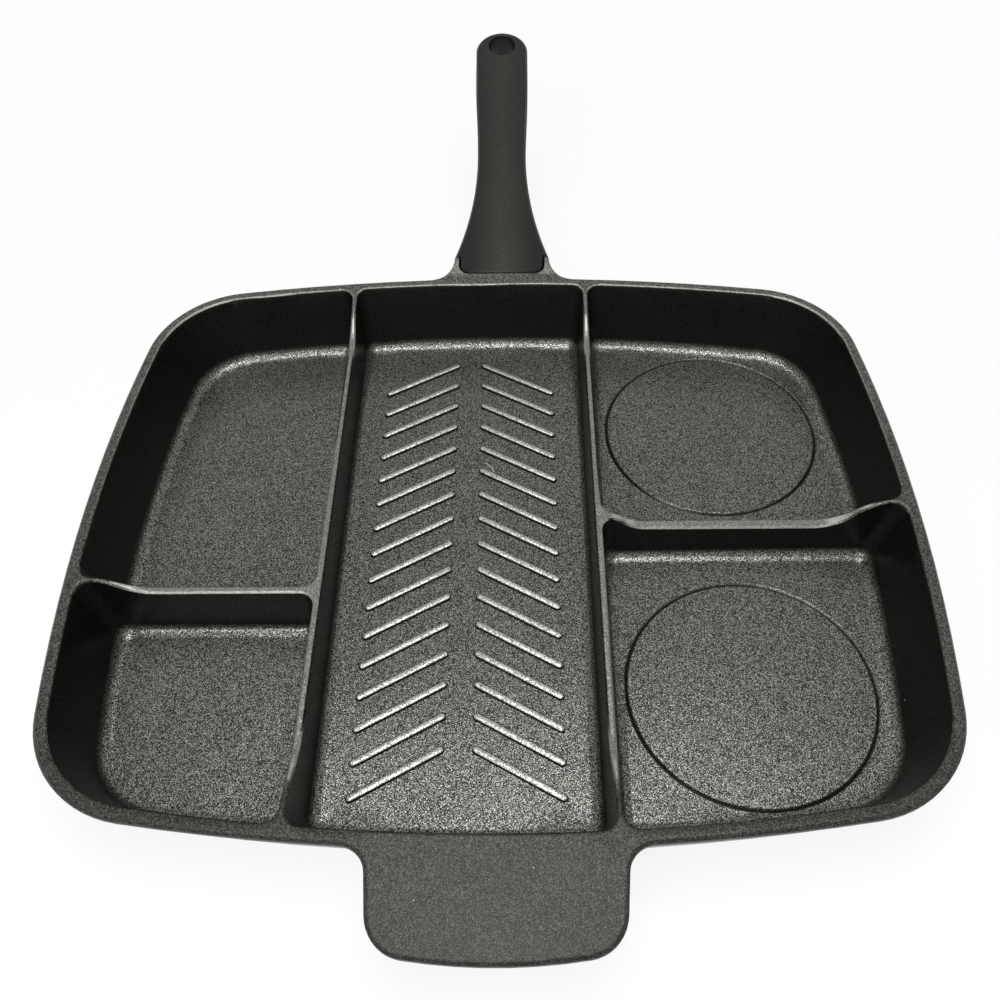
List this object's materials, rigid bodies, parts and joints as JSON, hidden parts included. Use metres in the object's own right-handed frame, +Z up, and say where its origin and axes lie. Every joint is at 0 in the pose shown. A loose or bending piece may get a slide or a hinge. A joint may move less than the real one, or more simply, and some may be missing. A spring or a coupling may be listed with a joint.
{
  "type": "divided frying pan",
  "caption": "Rectangular cast frying pan with divider walls forming separate cooking compartments, a ribbed grill strip, a front helper tab and a long raised handle.",
  "frame": {"origin": "centre of the flat base, on the face that rests on the hob", "axes": "+X across the pan to the right as seen from the helper tab, +Y towards the long handle, +Z up"},
  "size_m": [0.3812, 0.5324, 0.0894],
  "materials": {
    "pan_body": "die cast, with a black speckled non-stick coating",
    "handle": "matt black moulding",
    "washer": "plated",
    "handle_screw": "plated"
  },
  "bodies": {
    "root": {"pan_body": "pan_body", "handle": "handle", "washer": "washer", "handle_screw": "handle_screw"}
  },
  "joints": []
}
